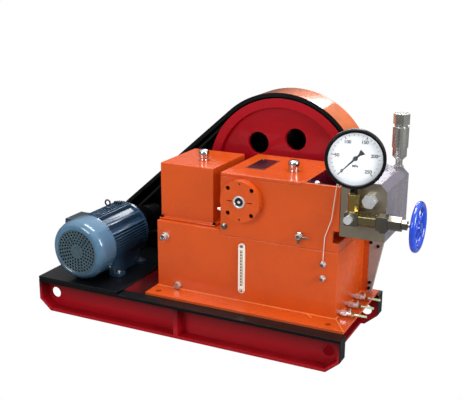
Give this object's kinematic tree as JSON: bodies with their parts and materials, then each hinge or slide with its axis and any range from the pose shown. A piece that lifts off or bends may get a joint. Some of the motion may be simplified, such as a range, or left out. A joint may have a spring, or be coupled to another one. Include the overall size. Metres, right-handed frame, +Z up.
{
  "type": "hydrostatic test pump",
  "caption": "Belt-driven plunger pump for pressure testing, with motor, oil tank, belt guard, dial gauge and valves on a steel skid.",
  "frame": {"origin": "on the floor under the middle of the machine's overall outline", "axes": "+X along the skid towards the fluid end and handwheel, +Y from the front towards the belt guard, +Z up"},
  "size_m": [1.1672, 0.509, 0.679],
  "materials": {
    "orange_paint": "glossy orange enamel",
    "red_paint": "glossy red enamel",
    "black_paint": "glossy black enamel",
    "motor_paint": "satin blue-grey enamel",
    "blue_paint": "glossy blue enamel",
    "steel": "ground steel",
    "polished": "bright plated steel",
    "brass": "yellow passivated",
    "dark_iron": "machined iron",
    "dial_white": "white dial enamel",
    "black_case": "black enamel",
    "belt_rubber": "matt black",
    "fan_plastic": "dull black",
    "clear_glass": "clear"
  },
  "bodies": {
    "root": {"front_beam": "red_paint", "back_beam": "red_paint", "cross_members": "red_paint", "motor_deck": "black_paint", "base_flange": "orange_paint", "oil_tank": "orange_paint", "left_box": "orange_paint", "crankcase": "orange_paint", "crankcase_cover": "orange_paint", "plungers": "polished", "front_bearing_cover": "orange_paint", "breathers": "polished", "level_gauge_frame": "polished", "pipe_plugs": "steel", "oil_tap": "polished", "oil_pipes": "steel", "fluid_block": "steel", "block_support_leg": "steel", "drain_cocks": "polished", "outlet_tee": "steel", "outlet_bar": "steel", "valve_body": "steel", "valve_bonnet": "steel", "safety_valve": "steel", "gauge_case": "black_case", "gauge_bezel": "black_case", "gauge_glass": "clear_glass", "gauge_nuts": "brass", "motor_frame": "motor_paint", "motor_drive_shield": "motor_paint", "motor_fan_cowl": "motor_paint", "terminal_box": "motor_paint", "drive_belts": "belt_rubber", "guard_band": "orange_paint", "guard_back_plate": "orange_paint"},
    "drive_wheel": {"belt_wheel_rim": "red_paint", "belt_wheel_web": "red_paint", "crank_shaft": "steel"},
    "motor_rotor": {"motor_shaft": "steel", "motor_pulley": "dark_iron", "motor_fan": "fan_plastic"},
    "valve_wheel": {"handwheel": "blue_paint", "valve_stem": "polished"},
    "dial_pointer": {"gauge_pointer": "black_case"},
    "tap_lever": {"oil_tap_lever": "polished"}
  },
  "joints": [
    {"name": "wheel_spin", "type": "hinge", "parent": "root", "child": "drive_wheel", "pos_m": [0.0634, 0.1744, 0.4173], "axis": [0, 1, 0], "continuous": true},
    {"name": "motor_spin", "type": "hinge", "parent": "root", "child": "motor_rotor", "pos_m": [-0.4456, 0.1105, 0.207], "axis": [0, 1, 0], "continuous": true},
    {"name": "valve_turn", "type": "hinge", "parent": "root", "child": "valve_wheel", "pos_m": [0.5746, -0.1716, 0.4173], "axis": [1, 0, 0], "range_deg": [0, 1080]},
    {"name": "pointer_turn", "type": "hinge", "parent": "root", "child": "dial_pointer", "pos_m": [0.40466, -0.18121, 0.5789], "axis": [-0.2756, 0.9613, 0], "range_deg": [0, 270], "stiffness_Nm_per_rad": 0.0002, "springref_deg": -17.19},
    {"name": "tap_turn", "type": "hinge", "parent": "root", "child": "tap_lever", "pos_m": [0.2453, -0.1642, 0.3374], "axis": [0, 1, 0], "range_deg": [0, 90]}
  ],
  "couplings": [
    {"joint": "motor_spin", "follows": "wheel_spin", "ratio": 5.72}
  ]
}
